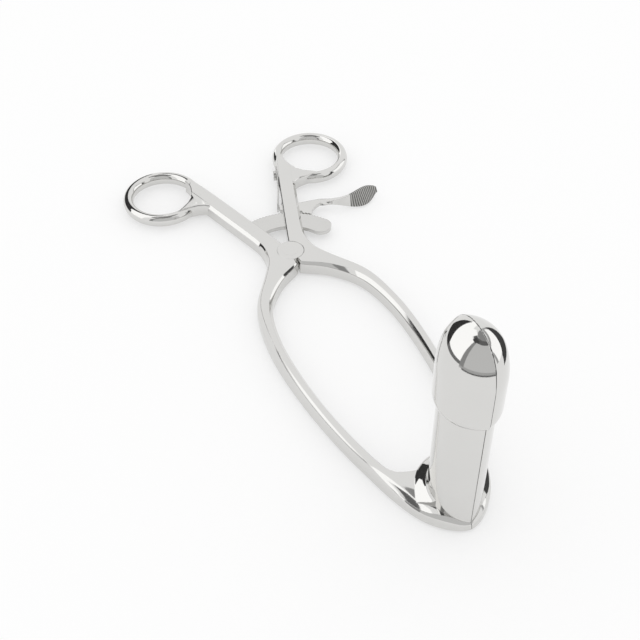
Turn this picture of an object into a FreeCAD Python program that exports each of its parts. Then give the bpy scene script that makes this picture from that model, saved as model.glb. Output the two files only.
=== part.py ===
import FreeCAD, Part
import math
import os

from FreeCAD import Vector

# Two-bladed speculum with a ratchet between its finger handles.
# Millimetres. The origin is on the rest plane, under the pivot. The blades
# stand up at the -Y end, the finger rings lie at the +Y end, and X = 0 is the
# plane where the two halves meet.

# Bar stock of the two limbs; cutters reach past what they cut
limb_height = 6.5
shank_angle = 18.0
shank_inner_offset = -0.3
shank_width = 6.8
shank_bevel_width = 1.1
shank_bevel_height = 1.5
edge_break = 0.3
fit_gap = 0.02
cut_past = 1.0

# Finger rings: a bevelled band, lower than the shank
ring_reach = 64.0
ring_bore_radius = 12.2
ring_band = 4.3
ring_inset = 1.1
ring_height = 5.4
ring_bevel_width = 0.9
ring_bevel_height = 1.4
ring_draw_in = 14.0

# Pivot: each limb has a half-height lobe that turns in a pocket of the other
lobe_radius = 5.3
lobe_clearance = 0.12
lap_clearance = 0.08
waist_half_width = 9.9
waist_reach = 3.0
waist_flare = 0.7
waist_drop = 1.5
shank_root = 11.0
shank_start = 12.0
shoulder_gap = 0.8
crotch_depth = 8.2
pivot_radius = 2.0
pivot_head_radius = 3.0
pivot_head_depth = 1.0
running_clearance = 0.05

# Bows, from the pivot to the foot of the blades
loop_length = 142.0
loop_half_width = 28.3
bow_width = 5.3
bow_bevel_width = 1.1
bow_bevel_drop = 2.8
bow_round = 0.8
waist_bevel = 0.4

# Blades: each is less than half of a round tube, so the closed pair is an oval
blade_radius = 11.5
blade_axis_offset = 3.0
blade_wall = 1.2
blade_base = 0.8
foot_rim = 1.1
foot_back = 1.2
foot_height = 8.2
foot_bevel_drop = 4.1
seam_gap = 0.2

# Tips: hollow domed bulbs, one half on each blade, turned on the blade's axis
tip_radius = 13.2
crown_height = 82.8
tip_socket = 6.0
tip_shoulder = 4.0
tip_shoulder_bulge = 0.72
tip_barrel = 14.6
tip_dome = 18.2
tip_side_radius = 32.0
tip_wall = 1.3

# Ratchet rack, a toothed arc about the pivot
rack_outer_radius = 26.4
rack_width = 8.8
rack_thickness = 1.6
rack_tang_angle = 31.0
rack_end_angle = 58.0
tooth_angle = 3.0
tooth_depth = 0.5
tooth_rise_share = 0.3
first_tooth_angle = -18.0
slot_clearance = 0.15
rivet_radius = 0.9
rivet_edge_distance = 1.9

# Release lever: a pawl in the right shank with a thumb strip beside it
pawl_pin_gap = 3.6
pawl_pin_radius = 1.0
pawl_eye_radius = 2.6
pawl_teeth = 3
pawl_first_angle = 34.5
pawl_mesh_clearance = 0.06
pawl_tip_clearance = 0.12
pawl_lift_arm = 7.5
pawl_half_length = 2.0
pawl_shoulder = 1.0
pawl_heel_step = 1.0
neck_reach = 13.0
neck_rise = 1.5
neck_width = 2.6
neck_hollow = 2.0
strip_thickness = 1.1
twist_thickness = 1.54
twist_height = 2.4
pad_height = 5.6
pad_reach = 25.4
pad_length = 12.6
pad_rise = 5.7
pad_lean = 3.8
tail_proud = 1.3
slot_end_clearance = 1.6

# Leaf spring along the inner side of the right shank
spring_thickness = 0.5
spring_height = 4.0
spring_screw_gap = 11.0
spring_foot = 4.0
spring_tail_gap = 0.35
spring_overlap = 0.6
spring_sag_share = 0.35
spring_screw_radius = 1.1
spring_screw_length = 3.6
spring_head_radius = 2.1
spring_head_height = 1.1

# Derived sizes
mid_height = limb_height / 2
tip_base = crown_height - tip_barrel - tip_dome
ring_radius = ring_bore_radius + ring_band / 2
ring_outer_radius = ring_bore_radius + ring_band
ring_centre_offset = shank_inner_offset + ring_outer_radius - ring_inset
blade_half_depth = math.sqrt(blade_radius ** 2 - blade_axis_offset ** 2)
blade_y = -(loop_length - foot_rim - blade_half_depth)
rack_inner_radius = rack_outer_radius - rack_width
pawl_pin_along = rack_outer_radius + pawl_pin_gap
spring_screw_along = ring_reach - spring_screw_gap
rack_low = mid_height - rack_thickness / 2
rack_high = mid_height + rack_thickness / 2
slot_low = rack_low - slot_clearance
slot_high = rack_high + slot_clearance
shank_middle = shank_inner_offset + shank_width / 2
mesh_angle = math.degrees((tooth_depth + pawl_tip_clearance) / pawl_lift_arm)

UP = Vector(0, 0, 1)


def on_shank(along, across, z=0.0):
    """Point on the right shank: along it from the pivot, across it outwards."""
    lean = math.radians(shank_angle)
    x = along * math.sin(lean) + across * math.cos(lean)
    y = along * math.cos(lean) - across * math.sin(lean)
    return Vector(x, y, z)


def on_arc(radius, angle, z=0.0):
    """Point about the pivot, its angle counted clockwise from +Y in degrees."""
    turn = math.radians(angle)
    return Vector(radius * math.sin(turn), radius * math.cos(turn), z)


def closed_face(edges):
    return Part.Face(Part.Wire(edges))


def polygon(points):
    return Part.makePolygon(points + points[:1])


def prism(points, height):
    return Part.Face(polygon(points)).extrude(UP * height)


def lifted(point, z):
    return Vector(point.x, point.y, z)


def blade_bar(radius, low, high):
    """Round bar on the right blade's axis, which lies left of the seam."""
    return Part.makeCylinder(radius, high - low,
                             Vector(-blade_axis_offset, blade_y, low))


def crown_radius(half_width, rise, side_radius):
    """Radius of the crown arc that meets a side arc without a corner."""
    inset = side_radius - half_width
    return (side_radius ** 2 - inset ** 2 - rise ** 2) / (2 * (side_radius - rise))


def quarter_oval(centre, out, half_width, rise, side_radius):
    """Two tangent arcs from the side of an oval up to its crown."""
    crown = crown_radius(half_width, rise, side_radius)
    side_centre = centre + out * (half_width - side_radius)
    crown_centre = centre + UP * (rise - crown)
    meeting = (crown_centre - side_centre).normalize()
    joint = crown_centre + meeting * crown

    def between(middle, radius, start, end):
        way = ((start - middle) + (end - middle)).normalize()
        return Part.Arc(start, middle + way * radius, end).toShape()

    side = centre + out * half_width
    top = centre + UP * rise
    return [between(side_centre, side_radius, side, joint),
            between(crown_centre, crown, joint, top)]


def mirrored(shape):
    return shape.mirror(Vector(0, 0, 0), Vector(1, 0, 0))


def right_half(shape):
    """The side of a closed pair that lies beyond the seam, towards +X."""
    box = shape.BoundBox
    keep = Part.makeBox(box.XMax + cut_past, box.YLength + 2 * cut_past,
                        box.ZLength + 2 * cut_past,
                        Vector(seam_gap / 2, box.YMin - cut_past, box.ZMin - cut_past))
    return shape.common(keep)


def bow_section(outer, inner, heights, bevels, drops):
    """Upright bar section: flat top between two steep bevels, eased bottom.

    Heights, bevels and drops each give the outer side, then the inner one."""
    across = lifted(inner, 0) - lifted(outer, 0)
    width = across.Length
    across.normalize()
    corners = [
        (0, bow_round), (0, heights[0] - drops[0]), (bevels[0], heights[0]),
        (width - bevels[1], heights[1]), (width, heights[1] - drops[1]),
        (width, bow_round), (width - bow_round, 0), (bow_round, 0),
    ]
    return polygon([lifted(outer + across * offset, z) for offset, z in corners])


def bow():
    """Forged bow of the right limb, lofted from the waist to the seam."""
    bow_stations = [
        # outer x and y as shares, turn, width, bevel and drop as shares
        (0.55, 0.068, 37.0, 1.40, 0.8, 0.25),
        (0.853, 0.158, 27.0, 1.17, 1.3, 0.55),
        (0.982, 0.283, 8.0, 1.04, 1.1, 0.9),
        (1.00, 0.400, 0.0, 1.00, 1.0, 1.0),
        (0.95, 0.533, -7.0, 0.94, 0.9, 0.95),
        (0.867, 0.663, -13.0, 0.98, 0.8, 0.8),
    ]
    foot_stations = [
        # outer x and y, inner x and y, all from the blade's axis, rise, drop
        (1.92, 1.86, 1.50, 2.07, 0.15, 0.8),
        (1.68, 0.85, 1.28, 1.44, 0.45, 0.95),
        (1.27, -0.15, 0.76, 1.17, 0.8, 1.25),
        (0.70, -0.79, 0.37, 1.12, 1.0, 1.42),
    ]
    crotch = Vector(shoulder_gap / 2, -crotch_depth, 0)
    waist = Vector(waist_half_width + waist_flare, -waist_drop, 0)
    even = (limb_height, limb_height)
    waist_edge = (waist_bevel, waist_bevel)
    sections = [bow_section(waist, crotch, even, waist_edge, waist_edge)]
    for share_x, share_y, turn, width, bevel, drop in bow_stations:
        outer = Vector(share_x * loop_half_width, -share_y * loop_length, 0)
        heading = math.radians(turn)
        inward = Vector(-math.cos(heading), -math.sin(heading), 0)
        bevels = (bevel * bow_bevel_width, bevel * bow_bevel_width)
        drops = (drop * bow_bevel_drop, drop * bow_bevel_drop)
        sections.append(bow_section(outer, outer + inward * (width * bow_width), even,
                                    bevels, drops))
    axis = Vector(0, blade_y, 0)
    bevels = (bow_bevel_width, waist_bevel)
    for outer_x, outer_y, inner_x, inner_y, rise, drop in foot_stations:
        outer = axis + Vector(outer_x, outer_y, 0) * blade_half_depth
        inner = axis + Vector(inner_x, inner_y, 0) * blade_half_depth
        inner_height = limb_height + (foot_height - limb_height) * rise
        outer_height = (limb_height + inner_height) / 2
        drops = (drop * bow_bevel_drop, waist_bevel)
        sections.append(bow_section(outer, inner, (outer_height, inner_height),
                                    bevels, drops))
    front = Vector(seam_gap / 2, -loop_length, 0)
    back = Vector(seam_gap / 2, blade_y + blade_half_depth + foot_back, 0)
    drops = (foot_bevel_drop, waist_bevel)
    sections.append(bow_section(front, back, (foot_height, foot_height), bevels, drops))
    return Part.makeLoft(sections, True, False)


def waist_plate():
    """Full-height plate of the right limb round the pivot."""
    crotch = Vector(shoulder_gap / 2, -crotch_depth, 0)
    waist = Vector(waist_half_width + waist_flare, -waist_drop, 0)
    narrow = Vector(waist_half_width, waist_reach, 0)
    outer = on_shank(shank_start, shank_inner_offset + shank_width)
    inner = on_shank(shank_start, shank_inner_offset)
    root = on_shank(lobe_radius, shank_inner_offset)
    heart = Vector(shoulder_gap / 2, 0, 0)
    edges = [
        Part.makeLine(crotch, waist),
        Part.Arc(waist, narrow, outer).toShape(),
        Part.makeLine(outer, inner),
        Part.makeLine(inner, root),
        Part.makeLine(root, heart),
        Part.makeLine(heart, crotch),
    ]
    return closed_face(edges).extrude(UP * limb_height)


def bar_section(along, low, high, heights, inner_bevel, outer_bevel):
    """Section across the right shank; each bevel is a width and a height."""
    foot, top = heights
    corners = [
        (low, foot + inner_bevel[1]), (low, top - inner_bevel[1]),
        (low + inner_bevel[0], top), (high - outer_bevel[0], top),
        (high, top - outer_bevel[1]), (high, foot + outer_bevel[1]),
        (high - outer_bevel[0], foot), (low + inner_bevel[0], foot),
    ]
    return polygon([on_shank(along, across, z) for across, z in corners])


def shank():
    """Bevelled bar whose end draws in to the height of the ring's band."""
    low = shank_inner_offset
    high = shank_inner_offset + shank_width
    full = (0, limb_height)
    lowered = (mid_height - ring_height / 2, mid_height + ring_height / 2)
    outer_bevel = (shank_bevel_width, shank_bevel_height)
    inner_bevel = (edge_break, edge_break)
    ring_bevel = (ring_bevel_width, ring_bevel_height)
    draw_in = ring_reach - ring_draw_in
    straight = Part.Face(bar_section(shank_root, low, high, full, inner_bevel, outer_bevel))
    straight = straight.extrude(on_shank(draw_in, 0) - on_shank(shank_root, 0))
    start = bar_section(draw_in, low, high, full, inner_bevel, outer_bevel)
    end = bar_section(ring_reach, low, high, lowered, ring_bevel, ring_bevel)
    return straight.fuse(Part.makeLoft([start, end], True, True))


def finger_ring():
    """Ring with a bevelled band that stands a little inside the shank."""
    centre = on_shank(ring_reach, ring_centre_offset, mid_height)
    side = ring_height / 2 - ring_bevel_height
    rim = ring_band / 2 - ring_bevel_width
    quarter = [(ring_band / 2, side), (rim, ring_height / 2)]
    corners = quarter + [(-across, z) for across, z in reversed(quarter)]
    corners += [(-across, -z) for across, z in corners]
    section = polygon([centre + Vector(ring_radius + across, 0, z) for across, z in corners])
    ring = Part.Face(section).revolve(centre, UP, 360)
    finger_hole = Part.makeCylinder(ring_bore_radius, limb_height + 2 * cut_past,
                                    lifted(centre, -cut_past))
    return ring, finger_hole


def limb_blank():
    """Right limb before the pivot, slots and holes are cut."""
    ring, finger_hole = finger_ring()
    blade_socket = blade_bar(blade_radius + fit_gap, -cut_past, foot_height + cut_past)
    bar = waist_plate().fuse([bow(), shank().cut(finger_hole), ring])
    return bar.cut(blade_socket).removeSplitter()


def lobe(radius, low, high):
    return Part.makeCylinder(radius, high - low, Vector(0, 0, low))


def rack_band(clearance=0.0, low=rack_low, high=rack_high):
    """Arc band of the rack with its rounded free end."""
    inside = rack_inner_radius - clearance
    outside = rack_outer_radius + clearance
    middle = (inside + outside) / 2
    far = rack_end_angle
    near = -rack_tang_angle - math.degrees(clearance / middle)
    edges = [
        Part.Arc(on_arc(outside, near), on_arc(outside, (near + far) / 2),
                 on_arc(outside, far)).toShape(),
        Part.Arc(on_arc(outside, far),
                 on_arc(middle, far + math.degrees((outside - inside) / 2 / middle)),
                 on_arc(inside, far)).toShape(),
        Part.Arc(on_arc(inside, far), on_arc(inside, (near + far) / 2),
                 on_arc(inside, near)).toShape(),
        Part.makeLine(on_arc(inside, near), on_arc(outside, near)),
    ]
    band = closed_face(edges).extrude(UP * (high - low))
    band.translate(UP * low)
    return band


def tooth_gaps(clearance=0.0):
    """Toothed ring sector outside the rack's teeth: what is cut from the band."""
    count = int((rack_end_angle - first_tooth_angle) / tooth_angle)
    root = rack_outer_radius - tooth_depth + clearance
    tip = rack_outer_radius + clearance
    points = [on_arc(root, first_tooth_angle)]
    for number in range(count):
        start = first_tooth_angle + number * tooth_angle
        points.append(on_arc(tip, start + tooth_rise_share * tooth_angle))
        points.append(on_arc(root, start + tooth_angle))
    last = first_tooth_angle + count * tooth_angle
    beyond = rack_outer_radius + 3 * cut_past
    points.append(on_arc(beyond, last))
    for step in (0.75, 0.5, 0.25):
        points.append(on_arc(beyond, first_tooth_angle + step * (last - first_tooth_angle)))
    points.append(on_arc(beyond, first_tooth_angle))
    return prism(points, limb_height)


def rivet_places():
    """The two rivets that hold the rack's tang in the left shank."""
    places = []
    for radius in (rack_inner_radius + rivet_edge_distance,
                   rack_outer_radius - rivet_edge_distance):
        along = math.sqrt(radius ** 2 - shank_middle ** 2)
        place = on_shank(along, shank_middle)
        places.append(Vector(-place.x, place.y, 0))
    return places


def rivets(radius, low, high):
    pins = [Part.makeCylinder(radius, high - low, lifted(place, low))
            for place in rivet_places()]
    return Part.makeCompound(pins)


def ratchet_rack():
    band = rack_band().cut(tooth_gaps())
    return band.cut(rivets(rivet_radius, 0, limb_height))


def left_limb():
    pocket = lobe(lobe_radius + lobe_clearance, -cut_past, mid_height + lap_clearance / 2)
    upper_lobe = lobe(lobe_radius, mid_height + lap_clearance / 2, limb_height)
    body = mirrored(limb_blank()).fuse(upper_lobe).cut(pocket)
    body = body.cut(pivot_rivet(fit_gap))
    body = body.cut(rack_band(fit_gap, rack_low - fit_gap, rack_high + fit_gap))
    rivet_holes = rivets(rivet_radius, -cut_past, limb_height + cut_past)
    return body.cut(rivet_holes).removeSplitter()


def slot():
    """Opening through the right shank for the rack and the pawl."""
    outer = shank_inner_offset + shank_width
    nearest = math.sqrt((rack_inner_radius - slot_clearance) ** 2 - outer ** 2)
    low = nearest - slot_clearance
    high = pawl_pin_along + pawl_eye_radius + slot_end_clearance
    start = shank_inner_offset - cut_past
    end = outer + cut_past
    corners = [on_shank(low, start, slot_low), on_shank(low, end, slot_low),
               on_shank(high, end, slot_low), on_shank(high, start, slot_low)]
    return prism(corners, slot_high - slot_low)


def pin_place():
    return on_shank(pawl_pin_along, shank_middle)


def spring_screw_bar(radius, start, length):
    """Round bar on the spring screw's axis, square to the shank's inner side."""
    base = on_shank(spring_screw_along, start, mid_height)
    outward = on_shank(0, 1) - on_shank(0, 0)
    return Part.makeCylinder(radius, length, base, outward)


def pivot_rivet(grow=0.0):
    """Pivot rivet with a countersunk head at each face, ground flush."""
    radius = pivot_radius + grow
    head = pivot_head_radius + grow
    stem = lobe(radius, 0, limb_height)
    low_head = Part.makeCone(head, radius, pivot_head_depth)
    high_head = Part.makeCone(radius, head, pivot_head_depth,
                              Vector(0, 0, limb_height - pivot_head_depth))
    return stem.fuse([low_head, high_head]).removeSplitter()


def right_limb():
    pocket = lobe(lobe_radius + lobe_clearance, mid_height - lap_clearance / 2,
                  limb_height + cut_past)
    lower_lobe = lobe(lobe_radius, 0, mid_height - lap_clearance / 2)
    body = limb_blank().fuse(lower_lobe).cut(pocket)
    body = body.cut(pivot_rivet(running_clearance))
    pin_hole = Part.makeCylinder(pawl_pin_radius, limb_height + 2 * cut_past,
                                 lifted(pin_place(), -cut_past))
    thread = spring_screw_bar(spring_screw_radius, shank_inner_offset - cut_past,
                              spring_screw_length + cut_past)
    return body.cut([slot(), pin_hole, thread]).removeSplitter()


def blade():
    """Part of a round tube, open along the seam and at its foot."""
    top = tip_base + tip_socket
    tube = blade_bar(blade_radius, blade_base, top)
    return right_half(tube.cut(blade_bar(blade_radius - blade_wall, 0, top + cut_past)))


def tip():
    """Hollow bulb with a round shoulder below and a domed crown."""
    out = Vector(0, 1, 0)
    sleeve = blade_radius + fit_gap
    inner_radius = tip_radius - tip_wall
    overhang = tip_radius - sleeve

    def place(radius, above_base):
        return Vector(-blade_axis_offset, blade_y + radius, tip_base + above_base)

    centre = place(0, tip_barrel)
    crown = place(0, tip_barrel + tip_dome)
    inner_crown = place(0, tip_barrel + tip_dome - tip_wall)
    bend = place(sleeve + tip_shoulder_bulge * overhang,
                 (1 - tip_shoulder_bulge) * tip_shoulder)
    inner_dome = quarter_oval(centre, out, inner_radius, tip_dome - tip_wall,
                              tip_side_radius - tip_wall)
    edges = [
        Part.Arc(place(sleeve, 0), bend, place(tip_radius, tip_shoulder)).toShape(),
        Part.makeLine(place(tip_radius, tip_shoulder), place(tip_radius, tip_barrel)),
        *quarter_oval(centre, out, tip_radius, tip_dome, tip_side_radius),
        Part.makeLine(crown, inner_crown),
        *inner_dome,
        Part.makeLine(place(inner_radius, tip_barrel), place(inner_radius, tip_socket)),
        Part.makeLine(place(inner_radius, tip_socket), place(sleeve, tip_socket)),
        Part.makeLine(place(sleeve, tip_socket), place(sleeve, 0)),
    ]
    shell = closed_face(Part.__sortEdges__(edges)).revolve(centre, UP, 360)
    return right_half(shell)


def on_lever(reach, rise):
    """Point beside the pawl's pin: reach is square to the shank, rise along it."""
    return on_shank(pawl_pin_along + rise, shank_middle + reach)


def pawl_plate():
    """Flat pawl in its meshed place: eye, toothed edge, tail and lever neck."""
    half_width = shank_width / 2
    tail = -half_width - tail_proud
    below_teeth = rack_outer_radius - tooth_depth - cut_past
    heel = on_arc(below_teeth, pawl_first_angle)
    heel_up = on_arc(rack_outer_radius + pawl_heel_step, pawl_first_angle - tooth_angle / 3)
    toe = on_arc(below_teeth, pawl_first_angle + pawl_teeth * tooth_angle)
    neck_low = on_lever(neck_reach, neck_rise - neck_width / 2)
    neck_top = on_lever(neck_reach, neck_rise + neck_width / 2)
    hollow = (toe + neck_low) / 2 + on_lever(0, 0) - on_lever(neck_hollow / 2, -neck_hollow / 2)
    edges = [
        Part.makeLine(on_lever(tail, -pawl_half_length / 2), on_lever(tail, pawl_half_length)),
        Part.makeLine(on_lever(tail, pawl_half_length),
                      on_lever(half_width + pawl_shoulder, pawl_half_length)),
        Part.makeLine(on_lever(half_width + pawl_shoulder, pawl_half_length), neck_top),
        Part.makeLine(neck_top, neck_low),
        Part.Arc(neck_low, hollow, toe).toShape(),
        Part.makeLine(toe, heel),
        Part.makeLine(heel, heel_up),
        Part.makeLine(heel_up, on_lever(-pawl_shoulder, -pawl_eye_radius)),
        Part.makeLine(on_lever(-pawl_shoulder, -pawl_eye_radius),
                      on_lever(tail, -pawl_half_length / 2)),
    ]
    plate = closed_face(edges).extrude(UP * rack_thickness)
    plate.translate(UP * rack_low)
    worn = rack_band(pawl_mesh_clearance, 0, limb_height).cut(tooth_gaps(pawl_mesh_clearance))
    return plate.cut(worn)


def strip_section(reach, rise, heading, thickness, height, lean):
    """Section of the thumb strip; its upper edge leans up the shank."""
    turn = math.radians(heading - shank_angle)
    across = Vector(-math.sin(turn), math.cos(turn), 0)
    middle = on_lever(reach, rise)
    corners = []
    for side, end in ((-1, -1), (1, -1), (1, 1), (-1, 1)):
        offset = side * thickness / 2 + end * lean / 2
        corners.append(lifted(middle + across * offset, mid_height + end * height / 2))
    return polygon(corners)


def thumb_strip():
    """Strip that turns on edge and ends in a leaning pad for the finger."""
    neck_end = neck_reach - neck_width / 4
    twist_reach = (neck_reach + pad_reach) / 2
    pad_sizes = [
        # shares of the pad's length, rise, height and lean, and the heading
        (0.0, 0.05, 0.95, 0.2, 4.0),
        (0.43, 0.25, 1.0, 1.0, 20.0),
        (0.80, 0.78, 0.8, 0.6, 36.0),
        (1.0, 1.0, 0.38, 0.25, 36.0),
    ]
    sections = [
        strip_section(neck_end, neck_rise, -4, neck_width, rack_thickness, 0),
        strip_section(twist_reach, neck_rise / 2, -4, twist_thickness, twist_height, 0),
    ]
    for length, rise, height, lean, heading in pad_sizes:
        sections.append(strip_section(pad_reach + length * pad_length, rise * pad_rise,
                                      heading, strip_thickness, height * pad_height,
                                      lean * pad_lean))
    return Part.makeLoft(sections, True, False)


def release_lever():
    lever = pawl_plate().fuse(thumb_strip())
    lever = lever.cut(Part.makeCylinder(pawl_pin_radius + running_clearance, limb_height,
                                        pin_place()))
    lever.rotate(pin_place(), UP, mesh_angle)
    return lever.removeSplitter()


def lever_pin():
    return Part.makeCylinder(pawl_pin_radius, limb_height, pin_place())


def leaf_spring():
    """Thin strip, screwed to the shank, whose free end presses on the tail."""
    top = spring_screw_along + spring_foot
    foot_end = spring_screw_along - spring_foot
    tail = pawl_pin_along + spring_overlap
    lift = tail_proud + spring_tail_gap
    middle = (foot_end + tail) / 2
    sag = lift * spring_sag_share

    def place(along, off):
        return on_shank(along, shank_inner_offset - off, mid_height - spring_height / 2)

    near = fit_gap
    far = fit_gap + spring_thickness
    edges = [
        Part.makeLine(place(top, near), place(foot_end, near)),
        Part.Arc(place(foot_end, near), place(middle, sag), place(tail, lift)).toShape(),
        Part.makeLine(place(tail, lift), place(tail, lift + spring_thickness)),
        Part.Arc(place(tail, lift + spring_thickness), place(middle, sag + spring_thickness),
                 place(foot_end, far)).toShape(),
        Part.makeLine(place(foot_end, far), place(top, far)),
        Part.makeLine(place(top, far), place(top, near)),
    ]
    strip = closed_face(edges).extrude(UP * spring_height)
    under = shank_inner_offset - spring_thickness - cut_past
    return strip.cut(spring_screw_bar(spring_screw_radius + running_clearance, under,
                                      spring_thickness + 2 * cut_past))


def spring_screw():
    under_head = shank_inner_offset - spring_thickness - 2 * fit_gap
    shaft = spring_screw_bar(spring_screw_radius, under_head, spring_screw_length)
    head = spring_screw_bar(spring_head_radius, under_head - spring_head_height,
                            spring_head_height)
    return shaft.fuse(head)


os.makedirs("parts", exist_ok=True)
right_blade = blade()
right_tip = tip()
nodes = {
    "left_limb": left_limb(),
    "right_limb": right_limb(),
    "left_blade": mirrored(right_blade),
    "right_blade": right_blade,
    "left_tip": mirrored(right_tip),
    "right_tip": right_tip,
    "pivot_rivet": pivot_rivet(),
    "ratchet_rack": ratchet_rack(),
    "rack_rivets": rivets(rivet_radius, 0, limb_height),
    "release_lever": release_lever(),
    "lever_pin": lever_pin(),
    "leaf_spring": leaf_spring(),
    "spring_screw": spring_screw(),
}
for name, shape in nodes.items():
    shape.exportStep("parts/" + name + ".step")
    print(name, "solids", len(shape.Solids), "valid", shape.isValid(),
          "volume", round(shape.Volume, 1))
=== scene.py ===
import math

import bmesh
import bpy
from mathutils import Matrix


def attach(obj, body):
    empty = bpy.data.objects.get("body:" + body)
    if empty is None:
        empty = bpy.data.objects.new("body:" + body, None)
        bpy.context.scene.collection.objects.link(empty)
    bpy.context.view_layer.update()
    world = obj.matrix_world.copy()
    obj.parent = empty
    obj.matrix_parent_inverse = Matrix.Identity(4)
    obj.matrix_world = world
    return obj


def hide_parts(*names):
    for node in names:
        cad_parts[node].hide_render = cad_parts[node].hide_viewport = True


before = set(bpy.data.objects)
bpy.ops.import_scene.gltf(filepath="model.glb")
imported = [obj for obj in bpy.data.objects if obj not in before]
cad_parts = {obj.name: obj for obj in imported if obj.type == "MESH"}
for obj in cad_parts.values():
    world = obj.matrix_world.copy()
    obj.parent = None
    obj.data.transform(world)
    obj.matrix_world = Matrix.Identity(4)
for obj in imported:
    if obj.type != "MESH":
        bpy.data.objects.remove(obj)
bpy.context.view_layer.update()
bpy.ops.object.select_all(action="DESELECT")

# Limbs: the right bar
# Each limb is one stainless forging that runs from the finger ring past the pivot
# and round to the foot of its blade. The top is ground flat, the flanks are buffed
# round, and the foot is bored for the blade. All lengths here are in millimetres.
mm = 0.001
limb_height = 6.49
foot_chamfer = 0.8
shank_angle = math.radians(18)
shank_inner = -0.3
shank_outer = 6.5
ring_reach = 64.0
ring_bore = 12.2
ring_band = 4.3
ring_inset = 1.1
ring_across = shank_inner + ring_bore + ring_band - ring_inset
blade_axis = -3.0
blade_y = -129.798
blade_radius = 11.5
seam = 0.1
below_limb = -1
above_limb = 8
above_foot = 10


def on_shank(along, across):
    return (along * math.sin(shank_angle) + across * math.cos(shank_angle),
            along * math.cos(shank_angle) - across * math.sin(shank_angle))


def bar_corners(outer, inner, heights, flanks, crown=(0, 0)):
    """Twelve corners across the bar: outer foot, over the top, inner foot.

    Heights are the foot's, the outer edge's and the inner edge's. Each flank is
    its width, its drop and how round it is, from 0 for a chamfer to 1. The crown
    is what the top stands higher than flat at a third and at two thirds."""
    foot, *tops = heights
    across = (inner[0] - outer[0], inner[1] - outer[1])
    width = math.hypot(*across)
    sides = []
    for (flank, drop, bulge), top in zip(flanks, tops):
        sides.append([(foot_chamfer, foot), (0, foot + foot_chamfer), (0, top - drop),
                      (flank * (0.5 - 0.28 * bulge), top - drop * (0.5 + 0.08 * bulge)),
                      (flank, top)])
    start, end = sides[0][-1], (width - sides[1][-1][0], sides[1][-1][1])
    over = [(start[0] + (end[0] - start[0]) * share,
             start[1] + (end[1] - start[1]) * share + rise)
            for share, rise in zip((1 / 3, 2 / 3), crown)]
    profile = sides[0] + over + [(width - step, up) for step, up in reversed(sides[1])]
    return [(outer[0] + across[0] * step / width, outer[1] + across[1] * step / width, up)
            for step, up in profile]


def between(stations, steps):
    """More sections on a smooth line through the drawn ones."""
    finer = []
    for before, start, end, after in zip(stations, stations[1:], stations[2:], stations[3:]):
        for step in range(steps):
            t = step / steps
            finer.append([tuple(
                0.5 * (2 * b + (c - a) * t + (2 * a - 5 * b + 4 * c - d) * t ** 2
                       + (3 * b - a - 3 * c + d) * t ** 3)
                for a, b, c, d in zip(*corner))
                for corner in zip(before, start, end, after)])
    return finer + [stations[-2]]


def draw_bar(name, sections):
    """Extrude a twelve-cornered face from section to section, each corner one by one."""
    bpy.ops.mesh.primitive_circle_add(vertices=12, radius=mm, fill_type="NGON")
    bar = bpy.context.object
    bar.name = name
    bpy.ops.object.mode_set(mode="EDIT")
    for number, section in enumerate(sections):
        if number:
            bpy.ops.mesh.extrude_region_move()
        mesh = bmesh.from_edit_mesh(bar.data)
        end = [corner for corner in mesh.verts if corner.select]
        for corner, target in zip(end, section):
            bpy.ops.mesh.select_all(action="DESELECT")
            corner.select_set(True)
            bpy.ops.transform.translate(
                value=[goal * mm - now for goal, now in zip(target, corner.co)])
        for corner in end:
            corner.select_set(True)
        mesh.select_flush_mode()
    return bar


def crease(bar, wanted):
    """Keep the edges sharp whose two ends' corner and section numbers are wanted."""
    mesh = bmesh.from_edit_mesh(bar.data)
    bpy.ops.mesh.select_mode(type="EDGE")
    bpy.ops.mesh.select_all(action="DESELECT")
    for edge in mesh.edges:
        ends = sorted(divmod(corner.index, 12) for corner in edge.verts)
        edge.select_set(wanted(*ends))
    mesh.select_flush_mode()
    bpy.ops.transform.edge_crease(value=1.0)


def finish_with(piece, kind, **settings):
    bpy.ops.object.select_all(action="DESELECT")
    piece.select_set(True)
    bpy.context.view_layer.objects.active = piece
    modifier = piece.modifiers.new(kind.title(), kind)
    for name, value in settings.items():
        setattr(modifier, name, value)
    bpy.ops.object.modifier_apply(modifier=modifier.name)


def cut_with(piece, cutter):
    finish_with(piece, "BOOLEAN", object=cutter, operation="DIFFERENCE", solver="EXACT")
    bpy.data.objects.remove(cutter)


def round_bar(centre, radius, low, high, sides=128):
    bpy.ops.mesh.primitive_cylinder_add(
        vertices=sides, radius=radius * mm, depth=(high - low) * mm,
        location=(centre[0] * mm, centre[1] * mm, (low + high) / 2 * mm))
    bpy.ops.object.transform_apply(location=True)
    return bpy.context.object


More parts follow.
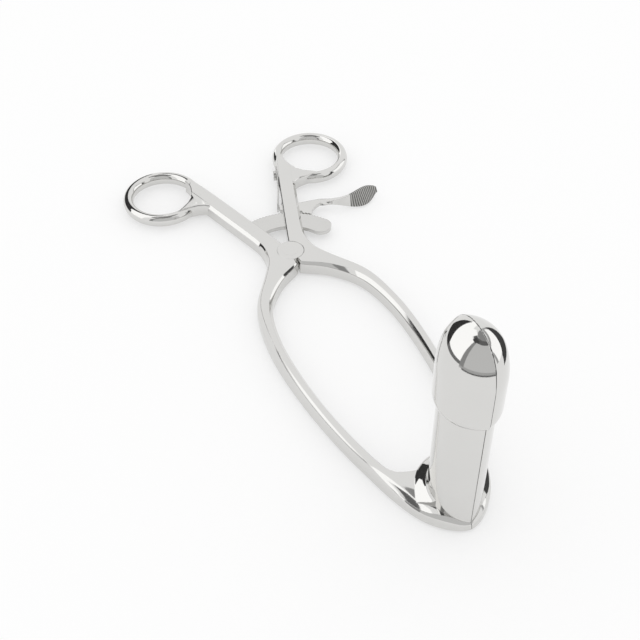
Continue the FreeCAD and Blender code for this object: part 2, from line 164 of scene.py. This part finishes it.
# Stations from the ring to the seam: outer and inner point, heights, flanks, crown.
level = (0.01, limb_height, limb_height)
shank_flanks = ((1.1, 1.5, 0), (0.3, 0.3, 0))
shank_sections = [
    bar_corners(on_shank(ring_reach, shank_outer), on_shank(ring_reach, shank_inner),
                (0.3, 6.3, 6.3), ((0.9, 1.4, 0), (0.9, 1.4, 0))),
    bar_corners(on_shank(57, shank_outer), on_shank(57, shank_inner),
                level, ((1.0, 1.45, 0), (0.5, 0.8, 0))),
    bar_corners(on_shank(50, shank_outer), on_shank(50, shank_inner), level, shank_flanks),
    bar_corners(on_shank(34, shank_outer), on_shank(34, shank_inner), level, shank_flanks),
    bar_corners(on_shank(20, shank_outer), on_shank(20, shank_inner), level, shank_flanks),
    bar_corners(on_shank(12, shank_outer), on_shank(12, shank_inner), level,
                ((0.9, 1.5, 0), (0.3, 0.3, 0))),
    bar_corners((9.78, 5.9), (1.35, 5.13), level, ((1.0, 1.6, 0.3), (0.3, 0.3, 0))),
    bar_corners((9.95, 2.4), (0.4, 0.0), level, ((1.0, 1.6, 0.3), (0.3, 0.3, 0))),
]
bow_sections = [
    bar_corners((9.95, 2.4), (0.4, -3.0), level, ((1.0, 1.6, 0.3), (0.3, 0.3, 0))),
    bar_corners((10.6, -1.5), (0.4, -8.2), level, ((1.0, 1.7, 0.3), (0.9, 1.3, 0.3))),
    bar_corners((15.57, -9.66), (9.64, -14.13), level, ((1.1, 1.4, 0.5), (1.2, 1.6, 0.7))),
    bar_corners((24.14, -22.44), (18.62, -25.25), level, ((1.5, 2.8, 1), (1.5, 2.4, 1))),
    bar_corners((27.79, -40.19), (22.33, -40.95), level, ((1.7, 3.2, 1), (1.5, 2.6, 1))),
    bar_corners((28.3, -56.8), (23.0, -56.8), level, ((1.7, 3.2, 1), (1.5, 2.6, 1))),
    bar_corners((26.88, -75.69), (21.94, -75.08), level, ((1.6, 3.0, 1), (1.4, 2.6, 1))),
    bar_corners((24.14, -94.0), (19.48, -92.98), level, ((1.3, 2.6, 1), (1.1, 2.0, 1))),
    bar_corners((20.72, -108.9), (16.65, -106.82), (0.01, 6.3, 6.5),
                ((1.0, 2.2, 1), (0.7, 1.2, 1)), (0.15, 0.12)),
    bar_corners((17.85, -120.0), (14.21, -113.81), (0.01, 5.5, 6.6),
                ((0.9, 1.6, 1), (0.4, 0.6, 1)), (0.5, 0.5)),
    bar_corners((13.50, -131.0), (8.44, -116.81), (0.01, 4.9, 6.9),
                ((0.9, 1.3, 1), (0.4, 0.4, 1)), (0.8, 0.9)),
    bar_corners((7.40, -138.3), (4.11, -117.36), (0.01, 6.0, 7.4),
                ((1.7, 1.9, 0.5), (0.4, 0.4, 1))),
    bar_corners((seam, -141.7), (seam, -117.5), (0.01, 4.5, 7.4),
                ((1.5, 1.9, 0.5), (0.4, 0.4, 1))),
    bar_corners((-7.20, -138.3), (-3.91, -117.36), (0.01, 6.0, 7.4),
                ((1.7, 1.9, 0.5), (0.4, 0.4, 1))),
]
sections = shank_sections + between(bow_sections, 3)
right_limb = draw_bar("right_limb_forging", sections)
sharp_corners = {0, 1, 4, 7, 10, 11}
shank_end = len(shank_sections)
last = len(sections) - 1


def is_sharp(start, end):
    along = start[1] == end[1] and start[0] != end[0]
    if along:
        return start[1] in sharp_corners or end[0] < shank_end
    return start[0] in (0, last) or (start[0] == shank_end and min(start[1], end[1]) >= 7)


crease(right_limb, is_sharp)
bpy.ops.object.mode_set(mode="OBJECT")
finish_with(right_limb, "SUBSURF", levels=2, render_levels=2)
cut_with(right_limb, round_bar(on_shank(ring_reach, ring_across), ring_bore,
                              below_limb, above_limb))
cut_with(right_limb, round_bar((blade_axis, blade_y), blade_radius,
                              below_limb, above_foot))

# Limbs: the finger ring
# The ring is forged in one with its shank. Its band is oval in section, and it is
# buffed all round, so it is spun here and set into the shank's end.
ring_height = 5.4


def join_to(piece, *others):
    bpy.ops.object.select_all(action="DESELECT")
    for other in (piece, *others):
        other.select_set(True)
    bpy.context.view_layer.objects.active = piece
    bpy.ops.object.join()


bpy.ops.object.select_all(action="DESELECT")
ring_centre = on_shank(ring_reach, ring_across)
band_centre = ((ring_centre[0] + ring_bore + ring_band / 2) * mm, ring_centre[1] * mm,
               limb_height / 2 * mm)
bpy.ops.mesh.primitive_circle_add(
    vertices=24, radius=mm, fill_type="NOTHING", rotation=(math.pi / 2, 0, 0),
    location=band_centre)
right_ring = bpy.context.object
bpy.ops.object.transform_apply(location=True, rotation=True)
bpy.ops.object.mode_set(mode="EDIT")
bpy.ops.mesh.select_all(action="SELECT")
bpy.ops.transform.resize(
    value=(ring_band / 2, 1, ring_height / 2), center_override=band_centre)
bpy.ops.mesh.spin(steps=96, angle=math.tau, axis=(0, 0, 1),
                  center=(ring_centre[0] * mm, ring_centre[1] * mm, 0))
bpy.ops.mesh.select_all(action="SELECT")
bpy.ops.mesh.remove_doubles(threshold=1e-6)
bpy.ops.object.mode_set(mode="OBJECT")
join_to(right_limb, right_ring)

# Limbs: the web between shank and ring
# Where the ring meets the shank the forging is left as a flat web with eased edges,
# ground level with the top. Its outline is given along and across the shank.
web_low = 0.9
web_high = 6.48
web_easing = 0.6
web_setback = 0.25
web_outline = [(62, 1.0), (44, 1.0), (43.6, 6.2), (45.4, 7.3), (46.9, 9.4), (48.1, 12.2),
               (49.1, 15.0), (49.9, 17.6), (50.7, 14.6), (51.8, 11.0), (53.8, 7.6), (60, 6)]


def flat_blank(outline, low, high):
    """A plate of the given outline, drawn corner by corner and pulled up."""
    bpy.ops.object.select_all(action="DESELECT")
    bpy.ops.mesh.primitive_circle_add(vertices=len(outline), radius=mm, fill_type="NGON")
    plate = bpy.context.object
    plate.name = "blank"
    bpy.ops.object.mode_set(mode="EDIT")
    mesh = bmesh.from_edit_mesh(plate.data)
    for corner, place in zip(list(mesh.verts), outline):
        bpy.ops.mesh.select_all(action="DESELECT")
        corner.select_set(True)
        bpy.ops.transform.translate(
            value=[there * mm - now for there, now in zip((*place, low), corner.co)])
    bpy.ops.mesh.select_all(action="SELECT")
    bpy.ops.mesh.extrude_region_move(
        TRANSFORM_OT_translate={"value": (0, 0, (high - low) * mm)})
    bpy.ops.mesh.select_all(action="SELECT")
    bpy.ops.mesh.normals_make_consistent(inside=False)
    bpy.ops.object.mode_set(mode="OBJECT")
    return plate


web = flat_blank([on_shank(*place) for place in web_outline], web_low, web_high)
finish_with(web, "BEVEL", width=web_easing * mm, segments=3, limit_method="ANGLE",
            angle_limit=math.radians(60))
cut_with(web, round_bar(ring_centre, ring_bore + web_setback, below_limb, above_limb))
join_to(right_limb, web)

# Limbs: the left limb
# The left forging is the right one's mirror image, up to the pivot's lobes and the
# slot, which are machined after forging.


def mirrored_copy(piece, name):
    bpy.ops.object.select_all(action="DESELECT")
    piece.select_set(True)
    bpy.context.view_layer.objects.active = piece
    bpy.ops.object.duplicate()
    copy = bpy.context.object
    copy.name = name
    bpy.ops.object.mode_set(mode="EDIT")
    bpy.ops.mesh.select_all(action="SELECT")
    bpy.ops.transform.mirror(constraint_axis=(True, False, False), center_override=(0, 0, 0))
    bpy.ops.object.mode_set(mode="OBJECT")
    return copy


left_limb = mirrored_copy(right_limb, "left_limb_forging")

# Limbs: the pivot's lobes
# A half-lap joint: each limb is milled away for the other's round lobe, the right
# limb's upper half and the left limb's lower half. The rivet holds the two together.
lobe_radius = 5.3
lobe_clearance = 0.12
lap_gap = 0.08
lobe_foot = 0.01
pocket = lobe_radius + lobe_clearance
middle = limb_height / 2
cut_with(right_limb, round_bar((0, 0), pocket, middle - lap_gap / 2, above_limb))
cut_with(left_limb, round_bar((0, 0), pocket, below_limb, middle + lap_gap / 2))
join_to(right_limb, round_bar((0, 0), lobe_radius, lobe_foot, middle - lap_gap / 2))
join_to(left_limb, round_bar((0, 0), lobe_radius, middle + lap_gap / 2,
                             limb_height - lobe_foot))

# Limbs: the slot in the right shank
# A slot is milled flat through the right shank, from flank to flank, for the rack
# to slide through and the lever's pawl to reach it.
slot_along = 26
slot_across = 3.1
slot_size = (9, 17, 1.9)
slot_middle = on_shank(slot_along, slot_across)
bpy.ops.object.select_all(action="DESELECT")
bpy.ops.mesh.primitive_cube_add(
    size=mm, location=(slot_middle[0] * mm, slot_middle[1] * mm, middle * mm),
    rotation=(0, 0, -shank_angle), scale=slot_size)
slot = bpy.context.object
bpy.ops.object.transform_apply(location=True, rotation=True, scale=True)
cut_with(right_limb, slot)

# Limbs: the collar at the foot
# The foot's steel is drawn up round the blade in a flared collar, where the brazed
# joint is dressed smooth. It dies out towards the seam and towards the bow. It is
# joined after the limbs' last cut, because a cut made later can lose it.
collar_points = [(10.6, 1.0), (15.6, 1.0), (15.9, 5.0), (15.2, 5.9), (14.2, 6.6),
                 (13.2, 7.3), (12.5, 7.9), (11.9, 8.8), (11.47, 9.6), (10.6, 9.6)]
collar_lean = math.radians(8.5)
collar_edge = [(-1, -139.6), (3.8, -138.8), (6.6, -137.0), (10.2, -134.2), (13.0, -130.4),
               (15.6, -125), (17.0, -119)]
collar_turn_height = 6.3

bpy.ops.object.select_all(action="DESELECT")
bpy.ops.mesh.primitive_circle_add(vertices=len(collar_points), radius=mm,
                                  fill_type="NOTHING")
collar = bpy.context.object
bpy.ops.object.mode_set(mode="EDIT")
mesh = bmesh.from_edit_mesh(collar.data)
for corner, (reach, up) in zip(list(mesh.verts), collar_points):
    bpy.ops.mesh.select_all(action="DESELECT")
    corner.select_set(True)
    goal = ((blade_axis + reach) * mm, blade_y * mm, up * mm)
    bpy.ops.transform.translate(value=[there - now for there, now in zip(goal, corner.co)])
bpy.ops.mesh.select_all(action="SELECT")
bpy.ops.mesh.spin(steps=120, angle=math.tau, axis=(0, 0, 1),
                  center=(blade_axis * mm, blade_y * mm, 0))
bpy.ops.mesh.select_all(action="SELECT")
bpy.ops.mesh.remove_doubles(threshold=1e-6)
bpy.ops.mesh.normals_make_consistent(inside=False)
bpy.ops.transform.rotate(value=-collar_lean, orient_axis="X",
                         center_override=(0, blade_y * mm, collar_turn_height * mm))
bpy.ops.mesh.bisect(plane_co=(seam * mm, 0, 0), plane_no=(1, 0, 0), use_fill=True,
                    clear_inner=True)
for near, far in zip(collar_edge, collar_edge[1:]):
    bpy.ops.mesh.select_all(action="SELECT")
    bpy.ops.mesh.bisect(plane_co=(near[0] * mm, near[1] * mm, 0),
                        plane_no=(near[1] - far[1], far[0] - near[0], 0), use_fill=True,
                        clear_inner=True)
bpy.ops.object.mode_set(mode="OBJECT")
left_collar = mirrored_copy(collar, "left_collar")
join_to(right_limb, collar)
join_to(left_limb, left_collar)

# Limbs: finish
# Both forgings are buffed to a mirror. The polish leaves a faint haze and a
# hair-fine grain, and painted shade darkens the steel's colour along its eased edges.


def steel(name, colour, gloss_low, gloss_high, haze_size, grain=0.02, stretch=(1, 1, 1),
          edge_radius=0.2):
    """Buffed steel: a faint haze, hair-fine grain, and painted shade darkening the eased
    edges.
    """
    finish = bpy.data.materials.new(name)
    finish.use_nodes = True
    nodes = finish.node_tree.nodes
    links = finish.node_tree.links
    shader = nodes["Principled BSDF"]
    shader.inputs["Metallic"].default_value = 1.0
    place = nodes.new("ShaderNodeTexCoord")
    haze = nodes.new("ShaderNodeTexNoise")
    haze.inputs["Scale"].default_value = 1 / haze_size
    haze.inputs["Detail"].default_value = 3
    # The first colour is the polish's random haze. The second is painted shade for the eased
    # edges.
    hazed, painted_edge_shade = ([part * share for part in colour[:3]] + [1]
                        for share in (0.965, 0.6))
    tint = nodes.new("ShaderNodeMix")
    tint.data_type = "RGBA"
    tint.inputs["A"].default_value = colour
    tint.inputs["B"].default_value = hazed
    flat = nodes.new("ShaderNodeNewGeometry")
    eased = nodes.new("ShaderNodeBevel")
    eased.samples = 6
    eased.inputs["Radius"].default_value = edge_radius * mm
    turn = nodes.new("ShaderNodeVectorMath")
    turn.operation = "DOT_PRODUCT"
    # Painted shade: the colour darkens along the eased edges, where the bevel normal turns
    # away from the face's normal.
    painted_edge_shade_mask = nodes.new("ShaderNodeMapRange")
    painted_edge_shade_mask.inputs["From Min"].default_value = 0.995
    painted_edge_shade_mask.inputs["From Max"].default_value = 0.80
    painted_edge_shade_mask.inputs["To Max"].default_value = 0.5
    painted_edge_shade_mix = nodes.new("ShaderNodeMix")
    painted_edge_shade_mix.data_type = "RGBA"
    painted_edge_shade_mix.inputs["B"].default_value = painted_edge_shade
    gloss = nodes.new("ShaderNodeMapRange")
    gloss.inputs["To Min"].default_value = gloss_low
    gloss.inputs["To Max"].default_value = gloss_high
    fine = nodes.new("ShaderNodeMapping")
    fine.inputs["Scale"].default_value = stretch
    hair = nodes.new("ShaderNodeTexNoise")
    hair.inputs["Scale"].default_value = 4000
    hair.inputs["Detail"].default_value = 2
    relief = nodes.new("ShaderNodeBump")
    relief.inputs["Strength"].default_value = grain
    relief.inputs["Distance"].default_value = 0.00002
    links.new(place.outputs["Object"], haze.inputs["Vector"])
    links.new(haze.outputs["Fac"], tint.inputs["Factor"])
    links.new(eased.outputs["Normal"], turn.inputs[0])
    links.new(flat.outputs["Normal"], turn.inputs[1])
    links.new(turn.outputs["Value"], painted_edge_shade_mask.inputs["Value"])
    links.new(painted_edge_shade_mask.outputs["Result"], painted_edge_shade_mix.inputs["Factor"])
    links.new(tint.outputs["Result"], painted_edge_shade_mix.inputs["A"])
    links.new(painted_edge_shade_mix.outputs["Result"], shader.inputs["Base Color"])
    links.new(haze.outputs["Fac"], gloss.inputs["Value"])
    links.new(gloss.outputs["Result"], shader.inputs["Roughness"])
    links.new(place.outputs["Object"], fine.inputs["Vector"])
    links.new(fine.outputs["Vector"], hair.inputs["Vector"])
    links.new(hair.outputs["Fac"], relief.inputs["Height"])
    links.new(eased.outputs["Normal"], relief.inputs["Normal"])
    links.new(relief.outputs["Normal"], shader.inputs["Normal"])
    return finish


def smooth(piece, angle=30):
    bpy.ops.object.select_all(action="DESELECT")
    piece.select_set(True)
    bpy.context.view_layer.objects.active = piece
    bpy.ops.object.mode_set(mode="EDIT")
    bpy.ops.mesh.select_all(action="SELECT")
    bpy.ops.mesh.normals_make_consistent(inside=False)
    bpy.ops.object.mode_set(mode="OBJECT")
    bpy.ops.object.shade_smooth_by_angle(angle=math.radians(angle))


mirror_steel = steel("mirror_steel", (0.70, 0.695, 0.68, 1.0), 0.03, 0.09, 0.02)
for limb, node, body in ((right_limb, "right_limb", "right_half"),
                         (left_limb, "left_limb", "left_half")):
    smooth(limb)
    limb.data.materials.clear()
    limb.data.materials.append(mirror_steel)
    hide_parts(node)
    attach(limb, body)

# Blades
# Two thin stainless half-round channels that stand in the feet of the limbs and
# are brazed there. Each is a little less than half of a drawn tube.
blade_foot = 0.8
blade_top = 56.0
blade_wall = 1.2


def keep_right_of_seam(piece):
    bpy.ops.object.select_all(action="DESELECT")
    piece.select_set(True)
    bpy.context.view_layer.objects.active = piece
    bpy.ops.object.mode_set(mode="EDIT")
    bpy.ops.mesh.select_all(action="SELECT")
    bpy.ops.mesh.bisect(plane_co=(seam * mm, 0, 0), plane_no=(1, 0, 0), use_fill=True,
                        clear_inner=True)
    bpy.ops.object.mode_set(mode="OBJECT")


bpy.ops.object.select_all(action="DESELECT")
bpy.ops.mesh.primitive_cylinder_add(
    vertices=160, radius=blade_radius * mm, depth=(blade_top - blade_foot) * mm,
    end_fill_type="NOTHING",
    location=(blade_axis * mm, blade_y * mm, (blade_foot + blade_top) / 2 * mm))
right_blade = bpy.context.object
right_blade.name = "right_blade_channel"
bpy.ops.object.transform_apply(location=True)
finish_with(right_blade, "SOLIDIFY", thickness=blade_wall * mm, offset=-1)
keep_right_of_seam(right_blade)
left_blade = mirrored_copy(right_blade, "left_blade_channel")
for blade, node, body in ((right_blade, "right_blade", "right_half"),
                          (left_blade, "left_blade", "left_half")):
    smooth(blade)
    blade.data.materials.append(mirror_steel)
    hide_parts(node)
    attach(blade, body)

# Tips
# Each blade ends in one half of a hollow bulb, spun from stainless sheet, slid
# over the channel and brazed on, then buffed to a mirror.
tip_base = 50.0
tip_radius = 13.2
tip_socket = 6.0
tip_shoulder = 4.0
tip_barrel = 14.6
tip_dome = 18.2
tip_side_radius = 32.0
tip_wall = 1.3
tip_fit = 0.02
dome_steps = 8


def oval_rise(half_width, rise, side_radius, base, steps):
    """Points up an oval crown: a flat side arc that runs into a round crown arc."""
    inset = side_radius - half_width
    crown = (side_radius ** 2 - inset ** 2 - rise ** 2) / (2 * (side_radius - rise))
    turn = math.atan2(rise - crown, inset)
    points = []
    for step in range(steps):
        angle = turn * step / steps
        points.append((side_radius * math.cos(angle) - inset,
                       base + side_radius * math.sin(angle)))
    for step in range(3 * steps):
        angle = turn + (math.pi / 2 - turn) * step / (3 * steps)
        points.append((crown * math.cos(angle), base + rise - crown + crown * math.sin(angle)))
    return points + [(0.05, base + rise)]


def turned(name, centre, profile, sides=160):
    """Extrude a disc along a turner's profile of radii and heights."""
    radius, height = profile[0]
    bpy.ops.object.select_all(action="DESELECT")
    bpy.ops.mesh.primitive_circle_add(
        vertices=sides, radius=radius * mm, fill_type="NGON",
        location=(centre[0] * mm, centre[1] * mm, height * mm))
    piece = bpy.context.object
    piece.name = name
    bpy.ops.object.transform_apply(location=True)
    bpy.ops.object.mode_set(mode="EDIT")
    bpy.ops.mesh.select_all(action="SELECT")
    for next_radius, next_height in profile[1:]:
        bpy.ops.mesh.extrude_region_move(
            TRANSFORM_OT_translate={"value": (0, 0, (next_height - height) * mm)})
        bpy.ops.transform.resize(
            value=(next_radius / radius, next_radius / radius, 1),
            center_override=(centre[0] * mm, centre[1] * mm, next_height * mm))
        radius, height = next_radius, next_height
    bpy.ops.object.mode_set(mode="OBJECT")
    return piece


dome_foot = tip_base + tip_barrel
outer_dome = oval_rise(tip_radius, tip_dome, tip_side_radius, dome_foot,
                       dome_steps)
inner_dome = oval_rise(tip_radius - tip_wall, tip_dome - tip_wall,
                       tip_side_radius - tip_wall, dome_foot, dome_steps)
sleeve = blade_radius + tip_fit
shoulder = [(sleeve + (tip_radius - sleeve) * math.sin(math.radians(angle)),
             tip_base + tip_shoulder * (1 - math.cos(math.radians(angle))))
            for angle in range(0, 91, 10)]
profile = (outer_dome[::-1] + shoulder[::-1]
           + [(sleeve, tip_base + tip_socket), (tip_radius - tip_wall, tip_base + tip_socket)]
           + inner_dome)
right_tip = turned("right_tip_bulb", (blade_axis, blade_y), profile)
keep_right_of_seam(right_tip)
left_tip = mirrored_copy(right_tip, "left_tip_bulb")
for tip, node, body in ((right_tip, "right_tip", "right_half"),
                        (left_tip, "left_tip", "left_half")):
    smooth(tip)
    tip.data.materials.append(mirror_steel)
    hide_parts(node)
    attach(tip, body)

# Ratchet rack
# A toothed arc ground from plate. Its tang is let into the left shank and riveted
# there. The grinding lines run across the plate, so its grain is drawn out one way.
rack_steel = steel("rack_steel", (0.66, 0.655, 0.64, 1.0), 0.10, 0.22, 0.006, 0.15,
                   (1, 12, 1))

# Leaf spring and its screw
# A strip of hardened spring steel with a duller, fine-ground finish. A small screw
# holds one end to the right shank, and the free end presses on the lever.
spring_steel = steel("spring_steel", (0.60, 0.595, 0.58, 1.0), 0.14, 0.26, 0.004, 0.15)

# Release lever
# A pawl plate in the right shank's slot, drawn out to a thumb strip. It is polished
# up to the pad, whose top is cut with fine ridges and left matte; the grooves carry painted
# shade.
lever_steel = steel("lever_steel", (0.70, 0.695, 0.68, 1.0), 0.04, 0.12, 0.01)
pad_from = 36.9
pad_ridge = 0.95
pad_blend = 0.4
pad_groove = 0.15
pad_turn = math.radians(-12)
nodes = lever_steel.node_tree.nodes
links = lever_steel.node_tree.links
place = nodes.new("ShaderNodeTexCoord")
turned_place = nodes.new("ShaderNodeMapping")
turned_place.inputs["Rotation"].default_value = (0, 0, pad_turn)
ridges = nodes.new("ShaderNodeTexWave")
ridges.inputs["Scale"].default_value = 0.314 / (pad_ridge * mm)
ridges.inputs["Distortion"].default_value = 1.2
ridges.inputs["Detail"].default_value = 2
parts = nodes.new("ShaderNodeSeparateXYZ")
on_pad = nodes.new("ShaderNodeMapRange")
on_pad.inputs["From Min"].default_value = pad_from * mm
on_pad.inputs["From Max"].default_value = (pad_from + pad_blend) * mm
matte = nodes.new("ShaderNodeBsdfPrincipled")
matte.inputs["Metallic"].default_value = 0.75
matte.inputs["Roughness"].default_value = 0.5
# Painted shade: the ridges' grooves are darkened to near black, and the crests keep the pad's
# grey.
shade = nodes.new("ShaderNodeValToRGB")
shade.color_ramp.elements[0].color = (0.10, 0.10, 0.095, 1)
shade.color_ramp.elements[1].color = (0.50, 0.495, 0.48, 1)
groove = nodes.new("ShaderNodeBump")
groove.inputs["Strength"].default_value = 0.8
groove.inputs["Distance"].default_value = pad_groove * mm
finish_mix = nodes.new("ShaderNodeMixShader")
links.new(place.outputs["Object"], parts.inputs["Vector"])
links.new(parts.outputs["X"], on_pad.inputs["Value"])
links.new(place.outputs["Object"], turned_place.inputs["Vector"])
links.new(turned_place.outputs["Vector"], ridges.inputs["Vector"])
links.new(ridges.outputs["Fac"], shade.inputs["Fac"])
links.new(shade.outputs["Color"], matte.inputs["Base Color"])
links.new(ridges.outputs["Fac"], groove.inputs["Height"])
links.new(groove.outputs["Normal"], matte.inputs["Normal"])
links.new(on_pad.outputs["Result"], finish_mix.inputs["Fac"])
links.new(nodes["Principled BSDF"].outputs["BSDF"], finish_mix.inputs[1])
links.new(matte.outputs["BSDF"], finish_mix.inputs[2])
links.new(finish_mix.outputs["Shader"], nodes["Material Output"].inputs["Surface"])

# Pins and rivets
# The pivot's rivet, the rack's two rivets and the lever's pin are filed flush with
# the limbs and buffed with them, so they have the mirror finish without eased edges or painted
# edge shade.
pin_steel = steel("pin_steel", (0.70, 0.695, 0.68, 1.0), 0.03, 0.09, 0.02, edge_radius=0.0)
finishes = {"pivot_rivet": pin_steel, "rack_rivets": pin_steel, "lever_pin": pin_steel,
            "ratchet_rack": rack_steel, "release_lever": lever_steel,
            "leaf_spring": spring_steel, "spring_screw": spring_steel}
for name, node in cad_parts.items():
    node.data.materials.clear()
    node.data.materials.append(finishes.get(name, mirror_steel))

# Studio
# A white sheet on a table under a plain white sky. Grey, black and white cards
# stand round it, out of the camera's sight, and only the steel mirrors them.
sheet_drop = 0.0005
sheet_glow = 0.45
bpy.ops.object.select_all(action="DESELECT")
bpy.ops.mesh.primitive_plane_add(size=6, location=(0, 0, -sheet_drop))
floor = bpy.context.object
floor.name = "floor"
bpy.ops.object.transform_apply(location=True)
sheet = bpy.data.materials.new("white_sheet")
sheet.use_nodes = True
nodes = sheet.node_tree.nodes
links = sheet.node_tree.links
paper = nodes["Principled BSDF"]
paper.inputs["Base Color"].default_value = (0.98, 0.98, 0.98, 1)
paper.inputs["Roughness"].default_value = 0.9
paper.inputs["Specular IOR Level"].default_value = 0.0
white = nodes.new("ShaderNodeEmission")
white.inputs["Strength"].default_value = 1.0
ray = nodes.new("ShaderNodeLightPath")
mirrored = nodes.new("ShaderNodeMath")
mirrored.operation = "MAXIMUM"
seen = nodes.new("ShaderNodeMath")
seen.operation = "MAXIMUM"
share = nodes.new("ShaderNodeMath")
share.operation = "MULTIPLY"
share.inputs[1].default_value = sheet_glow
lift = nodes.new("ShaderNodeMixShader")
links.new(ray.outputs["Is Glossy Ray"], mirrored.inputs[0])
links.new(ray.outputs["Is Transmission Ray"], mirrored.inputs[1])
links.new(ray.outputs["Is Camera Ray"], seen.inputs[0])
links.new(mirrored.outputs["Value"], seen.inputs[1])
links.new(seen.outputs["Value"], share.inputs[0])
links.new(share.outputs["Value"], lift.inputs["Fac"])
links.new(paper.outputs["BSDF"], lift.inputs[1])
links.new(white.outputs["Emission"], lift.inputs[2])
links.new(lift.outputs["Shader"], nodes["Material Output"].inputs["Surface"])
floor.data.materials.append(sheet)

sky = bpy.data.worlds.new("white_sky")
bpy.context.scene.world = sky
sky.use_nodes = True
sky.node_tree.nodes["Background"].inputs["Color"].default_value = (1, 1, 1, 1)
sky.node_tree.nodes["Background"].inputs["Strength"].default_value = 1.0
bpy.context.scene.view_settings.view_transform = "Standard"

# Each card is seen from the tips between two azimuths, clockwise from +Y, and
# between a low and a high edge, in degrees at its start and at its end.
eye = (0.0, blade_y * mm, 0.075)
cards = [
    # name, azimuths, low edge, high edge, distance, level
    ("left_softbox", (-92, 0), (-3, -3), (60, 56), 1.00, 1.38),
    ("softbox_corner", (0, 10), (38, 38), (56, 50), 1.00, 1.38),
    ("softbox_top", (-62, -22), (56, 56), (74, 66), 1.01, 1.38),
    ("floor_edge_left", (-92, -38), (-12, -12), (-3, -3), 0.0003, 0.20),
    ("back_black", (-40, 0), (-12, -12), (-1, 40), 0.36, 0.04),
    ("gap_left", (-104, -92), (-14, -12), (58, 57), 0.34, 0.32),
    ("room", (-210, -104), (-11, -11), (61, 60), 0.36, 0.67),
    ("floor_edge_front", (-210, -92), (-16.2, -16), (-10.5, -10.5), 0.0003, 0.48),
    ("sheet_edge", (-210, -100), (-17, -17), (-15.0, -15.3), 0.0006, 0.12),
    ("overhead", (-190, -62), (58.5, 62), (74, 71), 0.80, 0.15),
    ("overhead_dark", (-114, -76), (56, 58), (67, 69), 0.78, 0.08),
    ("top", (-180, 180), (72, 72), (89.9, 89.9), 0.77, 0.32),
    ("right_frame", (62, 124), (-8, -8), (34, 34), 0.66, 0.45),
    ("right_softbox", (66, 118), (-8, -8), (28, 28), 0.64, 1.35),
    ("right_black", (62, 102), (-28, -28), (20, -10), 0.16, 0.07),
]
for name, (start, end), low, high, distance, level_of_grey in cards:
    bpy.ops.object.select_all(action="DESELECT")
    bpy.ops.mesh.primitive_grid_add(x_subdivisions=48, y_subdivisions=24, size=2)
    card = bpy.context.object
    card.name = name
    on_table = max(high) < 0
    for corner in card.data.vertices:
        along = (corner.co.x + 1) / 2
        up = (corner.co.y + 1) / 2
        turn = math.radians(start + (end - start) * along)
        foot = low[0] + (low[1] - low[0]) * along
        head = high[0] + (high[1] - high[0]) * along
        rise = math.radians(foot + (head - foot) * up)
        reach, lift = distance * math.cos(rise), max(0.0, eye[2] + distance * math.sin(rise))
        if on_table:
            reach, lift = eye[2] / math.tan(-rise), distance
        corner.co = (eye[0] + reach * math.sin(turn), eye[1] + reach * math.cos(turn), lift)
    board = bpy.data.materials.new(name)
    board.use_nodes = True
    nodes = board.node_tree.nodes
    glow = nodes.new("ShaderNodeEmission")
    glow.inputs["Strength"].default_value = level_of_grey
    board.node_tree.links.new(glow.outputs["Emission"],
                              nodes["Material Output"].inputs["Surface"])
    card.data.materials.append(board)
    card.visible_camera = False
    card.visible_diffuse = False
    card.visible_shadow = False

# Camera
# The photograph's view: a short telephoto lens from the front left, above.
lens_data = bpy.data.cameras.new("camera")
lens_data.lens = 62.415
lens_data.sensor_width = 36
camera = bpy.data.objects.new("camera", lens_data)
bpy.context.collection.objects.link(camera)
camera.location = (-0.12979, -0.30577, 0.29733)
camera.rotation_euler = (math.radians(45.17), 0, math.radians(-25.02))
bpy.context.scene.camera = camera
